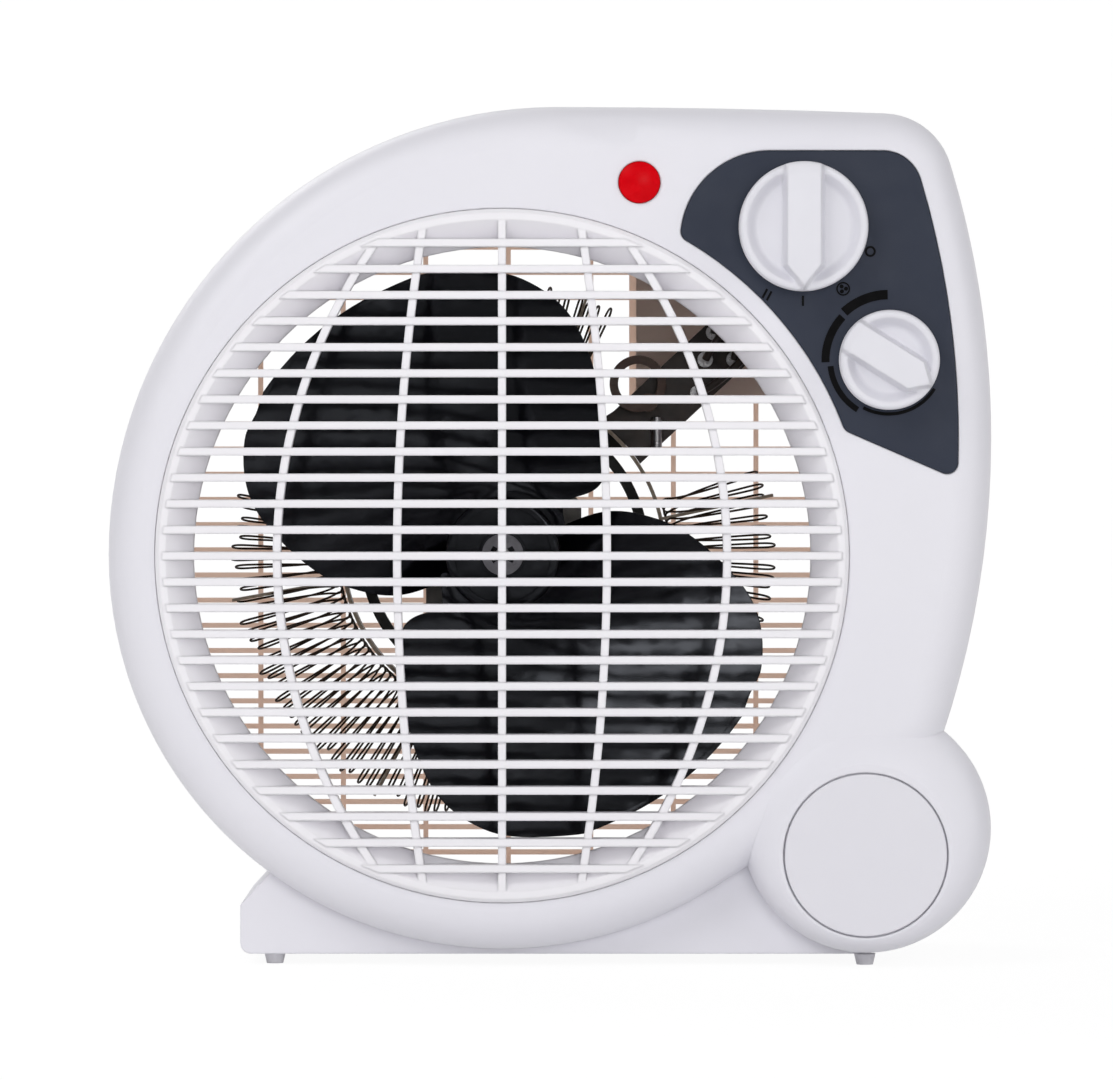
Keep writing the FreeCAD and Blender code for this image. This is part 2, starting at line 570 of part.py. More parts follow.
def make_controls():
    sp = SPINDLE_R + RUN_FIT
    inside = FASCIA_DEPTH + WALL
    body = block(MODE_X - SWITCH_HALF, MODE_X + SWITCH_HALF, inside, inside + SWITCH_LENGTH,
                 MODE_Z - SWITCH_HALF, MODE_Z + SWITCH_HALF)
    body = body.cut(rod(MODE_X, MODE_Z, inside - 1, sp, 13.0))
    save("switch_body", body)
    tabs = []
    for dx in (-8.0, 0.0, 8.0):
        for dz in (-5.0, 5.0):
            x = MODE_X + dx
            tabs.append(block(x - 0.4, x + 0.4, inside + SWITCH_LENGTH, inside + SWITCH_LENGTH + 8.0,
                              MODE_Z + dz - 2.4, MODE_Z + dz + 2.4))
    save("switch_tabs", tabs)
    frame = block(STAT_X - STAT_BODY_HALF, STAT_X + STAT_BODY_HALF, inside, inside + 3.0,
                  STAT_Z - STAT_BODY_HALF, STAT_Z + STAT_BODY_HALF)
    frame = frame.fuse(tube(STAT_X, STAT_Z, inside, 4.0, sp, 12.0))
    frame = frame.cut(rod(STAT_X, STAT_Z, inside - 1, sp, 20.0))
    save("thermostat_frame", frame.removeSplitter())
    post = tube(STAT_X - 6.5, STAT_Z, inside + 3.0, 2.4, 1.0, 12.0)
    save("thermostat_insulator", post)
    leaf = block(STAT_X - 8.5, STAT_X + 3.0, inside + 15.0, inside + 15.9, STAT_Z - 2.4, STAT_Z + 2.4)
    leaf_low = block(STAT_X - 8.5, STAT_X + 5.0, inside + 17.0, inside + 17.9, STAT_Z - 2.4, STAT_Z + 2.4)
    spacer = tube(STAT_X - 6.5, STAT_Z, inside + 15.9, 2.2, 1.0, 1.1)
    save("thermostat_bimetal", fuse_all([leaf, spacer, leaf_low]))
    lens = rod(LAMP_X, LAMP_Z, FASCIA_DEPTH - 0.6, LAMP_R, 8.0)
    ball = Part.makeSphere(16.0, V(LAMP_X, y_at(FASCIA_DEPTH - 1.6 + 16.0), LAMP_Z))
    lens = rod(LAMP_X, LAMP_Z, FASCIA_DEPTH - 1.6, LAMP_R, 9.0).common(
        ball.fuse(rod(LAMP_X, LAMP_Z, FASCIA_DEPTH + 1.0, LAMP_R, 8.0)))
    lens = lens.cut(rod(LAMP_X, LAMP_Z, FASCIA_DEPTH + 1.5, LAMP_R - 1.2, 10.0))
    lens = lens.fuse(tube(LAMP_X, LAMP_Z, inside, LAMP_R + 1.3, LAMP_R - 1.2, 1.4))
    save("lamp_lens", lens.removeSplitter())
    neon = rod(LAMP_X, LAMP_Z, FASCIA_DEPTH + 2.5, 2.6, 9.0)
    lens_end = FASCIA_DEPTH - 1.6 + 9.0
    holder = tube(LAMP_X, LAMP_Z, inside + 1.4, LAMP_R + 1.3, LAMP_R + 0.05, lens_end - inside - 1.2)
    holder = holder.fuse(tube(LAMP_X, LAMP_Z, lens_end + 0.2, LAMP_R + 1.3, 2.6, 1.5)).removeSplitter()
    save("neon_lamp", neon)
    save("lamp_holder", holder)


def make_case_bits():
    disc = rod(BADGE_X, BADGE_Z, 0.0, BADGE_R - 0.45, BADGE_THICK)
    save("boss_disc", disc.makeFillet(0.3, edges_at_depth(disc, 0.0)))
    screws = []
    for x, z in SCREWS:
        seat = BODY_DEPTH - SCREW_SEAT
        head = rod(x, z, seat, SCREW_HEAD_R, SCREW_HEAD)
        head = head.makeFillet(0.6, edges_at_depth(head, seat + SCREW_HEAD))
        slot = block(x - 1.8, x + 1.8, seat + 1.0, seat + 3.0, z - 0.4, z + 0.4)
        cross = block(x - 0.4, x + 0.4, seat + 1.0, seat + 3.0, z - 1.8, z + 1.8)
        shank = rod(x, z, seat - SCREW_LENGTH + 2.0, SCREW_R, SCREW_LENGTH - 2.0)
        screws.append(head.fuse(shank).cut(slot.fuse(cross)).removeSplitter())
    save("case_screws", screws)
    feet = []
    for x, d in FEET:
        peg = Part.makeCone(FOOT_TIP_R, FOOT_TOP_R, FOOT_HEIGHT, V(x, y_at(d), 0))
        stem = Part.makeCylinder(FOOT_STEM_R, WALL + 1.0, V(x, y_at(d), FOOT_HEIGHT))
        feet.append(peg.fuse(stem).removeSplitter())
    save("feet", feet)
    bush = tube(CORD_X, CORD_Z, BODY_DEPTH - WALL - 3.0, CORD_HOLE_R, CORD_BORE_R, WALL + 3.0)
    bush = bush.fuse(tube(CORD_X, CORD_Z, BODY_DEPTH, CORD_FLANGE_R, CORD_BORE_R, CORD_PROUD))
    bush = bush.fuse(tube(CORD_X, CORD_Z, BODY_DEPTH - WALL - 3.0, CORD_FLANGE_R, CORD_BORE_R, 3.0))
    save("cord_bush", bush.removeSplitter())


def make_fan():
    import bisect

    # blade edges in polar form: radius, then the angle of each edge
    front_edge = ((13.0, 35.0), (36.0, 37.0), (41.0, 46.0), (51.0, 58.0), (63.0, 68.5), (70.0, 75.0),
                  (76.0, 83.0), (79.0, 92.0), (81.0, 106.0))
    rear_edge = ((13.0, 206.0), (31.0, 203.0), (49.0, 189.0), (60.0, 179.0), (70.0, 170.5),
                 (74.0, 166.0), (77.0, 161.0), (79.5, 155.0), (81.0, 146.0))

    def value(table, r):
        keys = [row[0] for row in table]
        i = min(max(bisect.bisect(keys, r) - 1, 0), len(table) - 2)
        (r0, a0), (r1, a1) = table[i], table[i + 1]
        s = (r - r0) / (r1 - r0)
        return a0 + s * (a1 - a0)

    rows = []
    radii = [13.0 + (81.0 - 13.0) * (1 - (1 - i / 13.0) ** 1.5) for i in range(14)]
    for r in radii:
        row = []
        a0, a1 = value(front_edge, r), value(rear_edge, r)
        for j in range(13):
            a = a0 + (a1 - a0) * j / 12.0
            s = (a - 35.0) / 170.0
            x, z = polar(r, a)
            camber = 3.0 * math.sin(math.pi * min(max(s, 0), 1))
            row.append(V(x, y_at(BLADE_FRONT + BLADE_SWEEP * s - camber), z))
        rows.append(row)
    sheet = Part.BSplineSurface()
    sheet.interpolate(rows)
    blade = sheet.toShape().extrude(V(0, BLADE_THICK, 0))
    hub = rod(AXIS_X, AXIS_Z, HUB_FRONT, HUB_R, HUB_LENGTH)
    hub = hub.makeFillet(1.2, edges_at_depth(hub, HUB_FRONT))
    hub = hub.cut(tube(AXIS_X, AXIS_Z, HUB_FRONT - 1, HUB_R - 2.6, BORE_R, 4.0))
    hub = hub.cut(tube(AXIS_X, AXIS_Z, HUB_FRONT + 6.0, HUB_R - HUB_WALL, BORE_R, 30.0))
    hub = hub.cut(rod(AXIS_X, AXIS_Z, 0.0, SHAFT_R, 100.0))
    ring = rod(AXIS_X, AXIS_Z, HUB_FRONT - 1, HUB_R - 0.6, 60.0)
    pair = [blade.cut(ring), turned(blade, 180.0).cut(ring)]
    fan = fuse_all([hub] + pair)
    save("fan", fan)
    nut = tube(AXIS_X, AXIS_Z, HUB_FRONT - 1.2, NUT_R, SHAFT_R, 1.2)
    for k in range(6):
        slot = turned(block(AXIS_X - 0.75, AXIS_X + 0.75, HUB_FRONT - 2, HUB_FRONT + 2,
                            AXIS_Z + 1.2, AXIS_Z + 3.5), 60.0 * k)
        nut = nut.cut(slot)
    save("push_nut", nut)


def make_motor():
    x, z = AXIS_X, AXIS_Z
    save("motor_shaft", rod(x, z, SHAFT_FRONT, SHAFT_R, SHAFT_BACK - SHAFT_FRONT))
    save("rotor", tube(x, z, STACK_DEPTH - 1.0, ROTOR_R, SHAFT_R, STACK_THICK + 2.0))
    hole_r = MOTOR_SCREW_R + MOTOR_SCREW_FIT
    holes = [rod(x + s * MOTOR_SCREW_X, z, 40.0, hole_r, 60.0) for s in (-1, 1)]
    h = STACK_HALF
    back = STACK_DEPTH + STACK_THICK
    outline = [(-h, STACK_BOTTOM + 6), (-h + 6, STACK_BOTTOM), (h - 6, STACK_BOTTOM), (h, STACK_BOTTOM + 6),
               (h, STACK_TOP - 5), (h - 5, STACK_TOP), (-h + 5, STACK_TOP), (-h, STACK_TOP - 5)]
    stack = prism([(x + a, z + b) for a, b in outline], STACK_DEPTH, STACK_THICK)
    leg_top = STACK_BOTTOM + COIL_LEG
    flange = COIL_BUILD + BOBBIN_WALL
    window = block(x - COIL_HALF - 2, x + COIL_HALF + 2, STACK_DEPTH - 1, back + 1,
                   z + leg_top, z + leg_top + flange + 0.4)
    stack = stack.cut(window).cut(rod(x, z, STACK_DEPTH - 1, POLE_R, STACK_THICK + 2))
    for hole in holes:
        stack = stack.cut(hole)
    save("stator_stack", stack)

    def sleeve(half, grow0, grow1):
        """Rectangular sleeve round the coil leg."""
        outer = block(x - half, x + half, STACK_DEPTH - grow1, back + grow1,
                      z + STACK_BOTTOM - grow1, z + leg_top + grow1)
        return outer.cut(block(x - half - 1, x + half + 1, STACK_DEPTH - grow0, back + grow0,
                               z + STACK_BOTTOM - grow0, z + leg_top + grow0))

    bobbin = sleeve(COIL_HALF, 0.0, BOBBIN_WALL)
    for s in (-1, 1):
        cheek = sleeve(BOBBIN_WALL / 2, 0.0, flange)
        cheek.translate(V(s * (COIL_HALF + BOBBIN_WALL / 2), 0, 0))
        bobbin = bobbin.fuse(cheek)
    save("coil_bobbin", bobbin.removeSplitter())
    save("coil_winding", sleeve(COIL_HALF, BOBBIN_WALL, flange - 0.5))

    for name, side, face in (("front_bracket", -1, STACK_DEPTH), ("rear_bracket", 1, back)):
        start = face + BRACKET_REACH if side > 0 else face - BRACKET_REACH - BRACKET_THICK
        bar = block(x - BRACKET_HALF, x + BRACKET_HALF, start, start + BRACKET_THICK, z - 6.5, z + 6.5)
        bar = bar.fuse(rod(x, z, start, 9.0, BRACKET_THICK))
        post_start = face if side > 0 else start
        post_length = MOUNT_DEPTH - face if side > 0 else BRACKET_REACH + BRACKET_THICK
        for s in (-1, 1):
            bar = bar.fuse(rod(x + s * MOTOR_SCREW_X, z, post_start, 3.4, post_length))
        for hole in holes:
            bar = bar.cut(hole)
        middle = start + BRACKET_THICK / 2 - BEARING_LENGTH / 2
        bar = bar.cut(rod(x, z, start - 1, BEARING_R, BRACKET_THICK + 2))
        save(name, bar.removeSplitter())
        bearing = tube(x, z, middle, BEARING_R, SHAFT_R + RUN_FIT, BEARING_LENGTH)
        save(name.replace("bracket", "bearing"), bearing)
    mount = tube(x, z, MOUNT_DEPTH, MOUNT_OUT_R, MOUNT_IN_R, MOUNT_THICK)
    strap = block(x - MOUNT_IN_R - 1, x + MOUNT_IN_R + 1, MOUNT_DEPTH, MOUNT_DEPTH + MOUNT_THICK,
                  z - 6.0, z + 6.0)
    strap = strap.fuse(rod(x, z, MOUNT_DEPTH, 11.0, MOUNT_THICK)).cut(rod(x, z, MOUNT_DEPTH - 1, 6.0, 9.0))
    arms = []
    for root, reach, end in ARMS:
        p, q = polar(MOUNT_IN_R + 1.0, root), polar(reach, end)
        length = math.hypot(q[0] - p[0], q[1] - p[1])
        nx, nz = -(q[1] - p[1]) / length * ARM_WIDTH / 2, (q[0] - p[0]) / length * ARM_WIDTH / 2
        arms.append(prism([(p[0] + nx, p[1] + nz), (q[0] + nx, q[1] + nz), (q[0] - nx, q[1] - nz),
                           (p[0] - nx, p[1] - nz)], MOUNT_DEPTH, MOUNT_THICK))
        walled = q[0] > CORNER_LEFT and q[1] > CORNER_LOW
        stop = BODY_DEPTH - WALL - SHIELD_GAP - SHIELD_THICK if walled else BODY_DEPTH - REAR_THICK
        arms.append(rod(q[0], q[1], MOUNT_DEPTH, ARM_WIDTH / 2, stop - MOUNT_DEPTH))
    mount = fuse_all([mount, strap] + arms)
    for hole in holes:
        mount = mount.cut(hole)
    save("motor_mount", mount)
    screws = []
    tip = STACK_DEPTH - BRACKET_REACH - BRACKET_THICK + 0.5
    seat = MOUNT_DEPTH + MOUNT_THICK
    for s in (-1, 1):
        sx = x + s * MOTOR_SCREW_X
        screws.append(rod(sx, z, tip, MOTOR_SCREW_R, seat - tip).fuse(rod(sx, z, seat, 3.2, 2.0)))
    save("motor_screws", [s.removeSplitter() for s in screws])


def zigzag(start, end, legs, depth):
    """Flat zigzag strip between the inner and the outer radius."""
    mid = []
    for i in range(legs + 1):
        r = HEAT_IN_R if i % 2 == 0 else HEAT_OUT_R
        mid.append(polar(r, start + (end - start) * i / legs))
    left, right = [], []
    for i, (px, pz) in enumerate(mid):
        dirs = []
        for j in (i - 1, i):
            if 0 <= j < legs:
                dx, dz = mid[j + 1][0] - mid[j][0], mid[j + 1][1] - mid[j][1]
                length = math.hypot(dx, dz)
                dirs.append((dx / length, dz / length))
        if len(dirs) == 1:
            nx, nz = -dirs[0][1], dirs[0][0]
            reach = WIRE / 2
        else:
            tx, tz = dirs[0][0] - dirs[1][0], dirs[0][1] - dirs[1][1]
            length = math.hypot(tx, tz)
            # along the bisector of the sharp bend; side follows the turn
            cross = dirs[0][0] * dirs[1][1] - dirs[0][1] * dirs[1][0]
            nx, nz = -tx / length, -tz / length
            if cross < 0:
                nx, nz = -nx, -nz
            half = math.hypot(dirs[0][0] + dirs[1][0], dirs[0][1] + dirs[1][1]) / 2.0
            reach = WIRE / 2 / max(half, 0.12)
        left.append((px + nx * reach, pz + nz * reach))
        right.append((px - nx * reach, pz - nz * reach))
    return prism(left + right[::-1], depth, WIRE)


def make_heater():
    x, z = AXIS_X, AXIS_Z
    band_r = HEAT_IN_R - WIRE - 0.8
    save("heater_band", tube(x, z, HEAT_FRONT, band_r, band_r - 1.0, VANE_DEPTH))
    vanes = []
    for a in VANE_ANGLES:
        vane = block(x + band_r - 2, x + VANE_R + 1, HEAT_FRONT, HEAT_FRONT + VANE_DEPTH,
                     z - VANE_THICK / 2, z + VANE_THICK / 2)
        vane = vane.common(tube(x, z, HEAT_FRONT - 1, VANE_R, band_r, VANE_DEPTH + 2))
        vanes.append(turned(vane, a))
    save("heater_vanes", vanes)
    posts = []
    inner_r = band_r - 1.0
    post_r = (inner_r - MOUNT_OUT_R) / 2
    for a in POST_ANGLES:
        px, pz = polar(MOUNT_OUT_R + post_r, a)
        posts.append(rod(px, pz, HEAT_FRONT, post_r, MOUNT_DEPTH + MOUNT_THICK - HEAT_FRONT))
    save("heater_posts", posts)
    half_leg = (HEAT_END - HEAT_START) / HEAT_LEGS / 2
    save("heating_wire_front", zigzag(HEAT_START, HEAT_END, HEAT_LEGS, HEAT_FRONT - WIRE))
    save("heating_wire_rear", zigzag(HEAT_START + half_leg, HEAT_END - half_leg, HEAT_LEGS,
                                     HEAT_FRONT + VANE_DEPTH))
    plate = block(x + band_r - 1, x + TERMINAL_R, PLATE_DEPTH, PLATE_DEPTH + PLATE_THICK,
                  z - TERMINAL_WIDTH / 2, z + TERMINAL_WIDTH / 2)
    plate = turned(plate, TERMINAL_ANGLE).cut(rod(x, z, PLATE_DEPTH - 1, band_r + SEAT_FIT, 9.0))
    save("terminal_plate", plate)
    tabs = []
    for r, aside in TERMINALS:
        t = math.radians(TERMINAL_ANGLE)
        tx = x + r * math.cos(t) - aside * math.sin(t)
        tz = z + r * math.sin(t) + aside * math.cos(t)
        foot = rod(tx, tz, PLATE_DEPTH - 1.0, 2.2, 1.0)
        tabs.append(foot.fuse(block(tx - 0.4, tx + 0.4, PLATE_DEPTH - 5.0, PLATE_DEPTH - 1.0,
                                    tz - 2.0, tz + 2.0)).removeSplitter())
    save("terminal_tabs", tabs)
    cx, cz = polar(CUTOUT_AT, CUTOUT_ANGLE)
    hoop = tube(cx, cz, PLATE_DEPTH - CUTOUT_LENGTH, CUTOUT_R, CUTOUT_R - 2.4, 1.6)
    tx, tz = polar(CUTOUT_AT - 2.0, TERMINAL_ANGLE + 3.0)
    foot = rod(tx, tz, PLATE_DEPTH - CUTOUT_LENGTH, 2.6, CUTOUT_LENGTH)
    save("thermal_cutout", hoop.fuse(foot).removeSplitter())
    fx, fz = polar(55.0, TERMINAL_ANGLE - 5.0)
    fuse_body = Part.makeCylinder(1.5, 9.0, V(fx, y_at(PLATE_DEPTH - 1.5), fz - 4.5), V(0, 0, 1))
    save("thermal_fuse", fuse_body)
    leads = []
    inside = FASCIA_DEPTH + WALL
    tab_end = inside + SWITCH_LENGTH + 8.7
    leaf_end = inside + 18.5
    ends = ((MODE_X - 8.0, MODE_Z - 5.0, tab_end), (MODE_X, MODE_Z - 5.0, tab_end),
            (MODE_X + 8.0, MODE_Z - 5.0, tab_end), (STAT_X - 6.5, STAT_Z, leaf_end + 0.3))
    for (r, aside), (ex, ez, end) in zip(TERMINALS, ends):
        t = math.radians(TERMINAL_ANGLE)
        sx = x + r * math.cos(t) - aside * math.sin(t)
        sz = z + r * math.sin(t) + aside * math.cos(t)
        turn = PORT_ANGLE + PORT_SPREAD * (1.5 - len(leads))
        gx, gz = polar(DUCT_R - 2.0, turn)
        hx, hz = polar(DUCT_R + 4.0, turn)
        top = y_at(end)
        pts = [V(sx, y_at(PLATE_DEPTH - 5.4 - LEAD_R), sz), V(gx, y_at(PORT_DEPTH + 4.0), gz),
               V(hx, y_at(PORT_DEPTH + 3.6), hz),
               V(ex, top + 12.0, ez - 2.0), V(ex, top, ez)]
        path = Part.BSplineCurve()
        path.interpolate(pts)
        wire = Part.Wire([path.toShape()])
        tangent = path.tangent(path.FirstParameter)[0]
        circle = Part.Wire([Part.makeCircle(LEAD_R, pts[0], tangent)])
        leads.append(wire.makePipeShell([circle], True, False))
    save("internal_leads", leads)


make_shells()
make_front_grille()
make_rear_grille()
make_panel()
make_knob("mode_knob", MODE_X, MODE_Z, MODE_R, 9.0, 180.0)
make_knob("thermostat_knob", STAT_X, STAT_Z, STAT_R, 8.0, STAT_POINTER)
make_spindle("mode_spindle", MODE_X, MODE_Z, 14.0)
make_spindle("thermostat_spindle", STAT_X, STAT_Z, 15.0)
make_controls()
make_case_bits()
make_fan()
make_motor()
make_heater()
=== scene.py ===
# %% [markdown]
# # Fan convector heater
# The mechanical part comes first as a fixed frame of named solids. This lesson gives those
# solids their finishes, adds the few pieces that are too fine or too springy for solids, and
# sets up a small studio round them. Lengths are in metres.

# %% Load the mechanical frame
import math
import random

import bpy
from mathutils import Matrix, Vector


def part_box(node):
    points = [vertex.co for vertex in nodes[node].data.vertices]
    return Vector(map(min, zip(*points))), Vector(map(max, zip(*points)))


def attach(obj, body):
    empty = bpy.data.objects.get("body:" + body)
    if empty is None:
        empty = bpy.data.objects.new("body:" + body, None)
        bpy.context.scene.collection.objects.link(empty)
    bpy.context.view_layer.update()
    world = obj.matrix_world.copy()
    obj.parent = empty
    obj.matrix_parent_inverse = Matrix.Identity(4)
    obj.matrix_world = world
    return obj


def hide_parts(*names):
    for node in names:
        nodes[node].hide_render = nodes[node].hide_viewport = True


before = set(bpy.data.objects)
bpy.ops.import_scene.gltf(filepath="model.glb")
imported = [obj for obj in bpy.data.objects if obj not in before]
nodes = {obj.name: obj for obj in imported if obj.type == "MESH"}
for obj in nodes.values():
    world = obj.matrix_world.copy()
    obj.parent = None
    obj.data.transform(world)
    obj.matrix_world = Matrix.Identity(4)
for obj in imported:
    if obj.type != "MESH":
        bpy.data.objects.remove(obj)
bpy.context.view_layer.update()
MM = 0.001

# %% [markdown]
# ## Landmarks
# Everything that is placed later is placed from the solids themselves. The fan shaft gives the
# fan axis, and the slats give the front plane from which depths are counted.

# %% Landmarks
def middle(node):
    low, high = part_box(node)
    return [(low[i] + high[i]) / 2 for i in range(3)]


AXIS = middle("motor_shaft")
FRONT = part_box("front_grille")[0][1]
print("fan axis x %.1f z %.1f mm, slat face y %.1f mm" % (AXIS[0] / MM, AXIS[2] / MM, FRONT / MM))


# %% [markdown]
# ## A small kit for finishes
# Each finish is one node tree built on the Principled shader. Real moulded plastic is never one
# even value: the polish drifts slowly over the face, and the mould leaves a fine spark-eroded
# grain.

# %% Finish kit
class Finish:
    """A Principled material with short calls for the things that real surfaces have."""

    def __init__(self, name, color, rough, metal=0.0, ior=1.46):
        self.mat = bpy.data.materials.new(name)
        self.mat.use_nodes = True
        self.mat.diffuse_color = (*color, 1.0)
        self.nt = self.mat.node_tree
        self.bsdf = self.nt.nodes["Principled BSDF"]
        self.bsdf.inputs["Base Color"].default_value = (*color, 1.0)
        self.bsdf.inputs["Roughness"].default_value = rough
        self.bsdf.inputs["Metallic"].default_value = metal
        self.bsdf.inputs["IOR"].default_value = ior
        self.color = color
        self.rough = rough
        self.normal = None
        self.place = self.node("ShaderNodeTexCoord").outputs["Object"]

    def node(self, kind, **values):
        n = self.nt.nodes.new(kind)
        for key, value in values.items():
            setattr(n, key, value)
        return n

    def join(self, a, b):
        self.nt.links.new(a, b)

    def noise(self, size, detail=2.0, stretch=(1, 1, 1)):
        """Noise whose blotches are about `size` metres across."""
        at = self.place
        if stretch != (1, 1, 1):
            m = self.node("ShaderNodeMapping")
            m.inputs["Scale"].default_value = stretch
            self.join(self.place, m.inputs["Vector"])
            at = m.outputs["Vector"]
        n = self.node("ShaderNodeTexNoise")
        n.inputs["Scale"].default_value = 1.0 / size
        n.inputs["Detail"].default_value = detail
        self.join(at, n.inputs["Vector"])
        return n.outputs["Fac"]

    def spread(self, fac, low, high, start=0.3, stop=0.7):
        r = self.node("ShaderNodeMapRange")
        r.inputs["From Min"].default_value = start
        r.inputs["From Max"].default_value = stop
        r.inputs["To Min"].default_value = low
        r.inputs["To Max"].default_value = high
        self.join(fac, r.inputs["Value"])
        return r.outputs["Result"]

    def tint(self, fac, other, start=0.3, stop=0.7):
        """Drift the colour towards another one where fac is high."""
        m = self.node("ShaderNodeMix", data_type="RGBA")
        m.inputs["A"].default_value = (*self.color, 1.0)
        m.inputs["B"].default_value = (*other, 1.0)
        self.join(self.spread(fac, 0.0, 1.0, start, stop), m.inputs["Factor"])
        self.join(m.outputs["Result"], self.bsdf.inputs["Base Color"])
        return self

    def polish(self, size, swing, stretch=(1, 1, 1)):
        """Let the roughness drift over patches of this size."""
        fac = self.noise(size, 3.0, stretch)
        out = self.spread(fac, self.rough - swing, self.rough + swing)
        self.join(out, self.bsdf.inputs["Roughness"])
        return self

    def soften(self, radius):
        """Rounded look on sharp edges."""
        b = self.node("ShaderNodeBevel", samples=4)
        b.inputs["Radius"].default_value = radius
        self.normal = b.outputs["Normal"]
        self.join(self.normal, self.bsdf.inputs["Normal"])
        return self

    def grain(self, size, height, strength=1.0, stretch=(1, 1, 1)):
        """Fine relief, height in metres."""
        b = self.node("ShaderNodeBump")
        b.inputs["Distance"].default_value = height
        b.inputs["Strength"].default_value = strength
        self.join(self.noise(size, 2.0, stretch), b.inputs["Height"])
        if self.normal is not None:
            self.join(self.normal, b.inputs["Normal"])
        self.normal = b.outputs["Normal"]
        self.join(self.normal, self.bsdf.inputs["Normal"])
        return self


def wear(node, finish):
    """Give a CAD node a finish in place of the plain one it arrived with."""
    for s in nodes[node].material_slots:
        s.material = finish.mat
    print("%-22s %s" % (node, finish.mat.name))


# %% [markdown]
# ## Case plastic
# The case is white ABS or polypropylene with a cool, slightly violet cast. The mould is
# spark-eroded to a fine satin, so highlights are broad and soft. A 0.35 mm grain with a few
# microns of relief breaks the highlight up, and the tint drifts by a percent or two over
# hand-sized patches, as it does on any large moulding.

# %% Case plastic
case = Finish("case_plastic", (0.775, 0.765, 0.815), 0.42)
case.tint(case.noise(0.09), (0.760, 0.752, 0.806)).polish(0.03, 0.05)
case.soften(0.0007).grain(0.00045, 0.000012)
for name in ("front_shell", "rear_shell"):
    wear(name, case)
disc = Finish("disc_plastic", (0.745, 0.735, 0.785), 0.50)
disc.tint(disc.noise(0.03), (0.735, 0.726, 0.778)).polish(0.01, 0.05)
disc.soften(0.0004).grain(0.0003, 0.000010)
wear("boss_disc", disc)

# %% [markdown]
# ## Grilles
# The guards are moulded separately from a glossier batch that is a touch warmer than the case.
# The rear bars are thin enough for daylight behind them to shine through, so their finish mixes
# in a translucent share. Their pale tan is painted shade: the warm, dim cast of white bars deep
# inside the case behind the front guard, in the base colour and in the light they pass.

# %% Grilles
guard = Finish("guard_plastic", (0.850, 0.838, 0.872), 0.34)
guard.tint(guard.noise(0.05), (0.840, 0.824, 0.858)).polish(0.02, 0.05)
guard.soften(0.0009).grain(0.0005, 0.000008)
wear("front_grille", guard)
# painted shade: the tan base colour and its darker drift stand for white bars lying in shade
back = Finish("back_plastic", (0.84, 0.74, 0.68), 0.40)
back.tint(back.noise(0.05), (0.80, 0.70, 0.63)).polish(0.02, 0.05)
back.grain(0.0005, 0.000008)
glow_through = back.node("ShaderNodeBsdfTranslucent")
# painted shade: the translucent colour carries the same painted tan
glow_through.inputs["Color"].default_value = (0.97, 0.84, 0.76, 1.0)
mixed = back.node("ShaderNodeMixShader")
mixed.inputs["Fac"].default_value = 0.75
back.join(back.bsdf.outputs["BSDF"], mixed.inputs[1])
back.join(glow_through.outputs["BSDF"], mixed.inputs[2])
back.join(mixed.outputs["Shader"], back.nt.nodes["Material Output"].inputs["Surface"])
wear("rear_grille", back)

# %% [markdown]
# ## Control panel, printing and knobs
# The dial plate is a slate grey moulding with a matt grain that shows as a faint sparkle. The
# marks are pad-printed: dense black ink, slightly glossier than the plate. The knobs are satin.

# %% Panel and knobs
plate = Finish("panel_plastic", (0.022, 0.028, 0.047), 0.50)
plate.tint(plate.noise(0.02), (0.026, 0.032, 0.051)).polish(0.008, 0.06)
plate.bsdf.inputs["Specular IOR Level"].default_value = 0.32
plate.soften(0.0005).grain(0.00035, 0.000018)
wear("dial_panel", plate)
ink = Finish("mark_ink", (0.0015, 0.0015, 0.002), 0.45)
ink.bsdf.inputs["Specular IOR Level"].default_value = 0.08
ink.polish(0.002, 0.08).grain(0.0004, 0.000006)
wear("dial_marks", ink)
knob = Finish("knob_plastic", (0.735, 0.730, 0.780), 0.36)
knob.tint(knob.noise(0.012), (0.722, 0.716, 0.768)).polish(0.006, 0.05)
knob.soften(0.0005).grain(0.0004, 0.000008)
for name in ("mode_knob", "thermostat_knob"):
    wear(name, knob)

# %% [markdown]
# ## Indicator lamp
# A clear red cap over a small neon lamp. The dye is deep and light scatters only a little inside
# the plastic, so the cap looks evenly red with hardly any shine.

# %% Indicator lamp
lens = Finish("lamp_red", (0.58, 0.0004, 0.004), 0.26, ior=1.49)
lens.tint(lens.noise(0.004), (0.66, 0.001, 0.006)).polish(0.004, 0.06)
lens.bsdf.inputs["Subsurface Weight"].default_value = 0.15
lens.bsdf.inputs["Specular IOR Level"].default_value = 0.06
lens.bsdf.inputs["Subsurface Radius"].default_value = (0.004, 0.0004, 0.0004)
lens.soften(0.0004).grain(0.0006, 0.000008)
wear("lamp_lens", lens)

# %% [markdown]
# ## Fan and motor mount
# Both are glossy black glass-filled nylon. Flow lines from the mould gate run outwards along the
# blades and show only in the reflections, so they go in the bump and the polish, not the colour.

# %% Fan and motor mount
black = Finish("fan_black", (0.0012, 0.0012, 0.0022), 0.15)
black.tint(black.noise(0.02), (0.0022, 0.0022, 0.0034)).polish(0.012, 0.05)
black.soften(0.0005).grain(0.012, 0.00030)
black.bsdf.inputs["Specular IOR Level"].default_value = 0.42
black.bsdf.inputs["Specular Tint"].default_value = (0.86, 0.90, 1.0, 1.0)
wear("fan", black)
mount = Finish("mount_black", (0.006, 0.006, 0.006), 0.42)
mount.tint(mount.noise(0.02), (0.010, 0.009, 0.009)).polish(0.012, 0.07)
mount.soften(0.0005).grain(0.001, 0.00002)
wear("motor_mount", mount)
grey = Finish("nut_grey", (0.21, 0.205, 0.225), 0.32)
grey.tint(grey.noise(0.003), (0.16, 0.156, 0.172)).polish(0.002, 0.08)
grey.soften(0.0003).grain(0.0006, 0.00002)
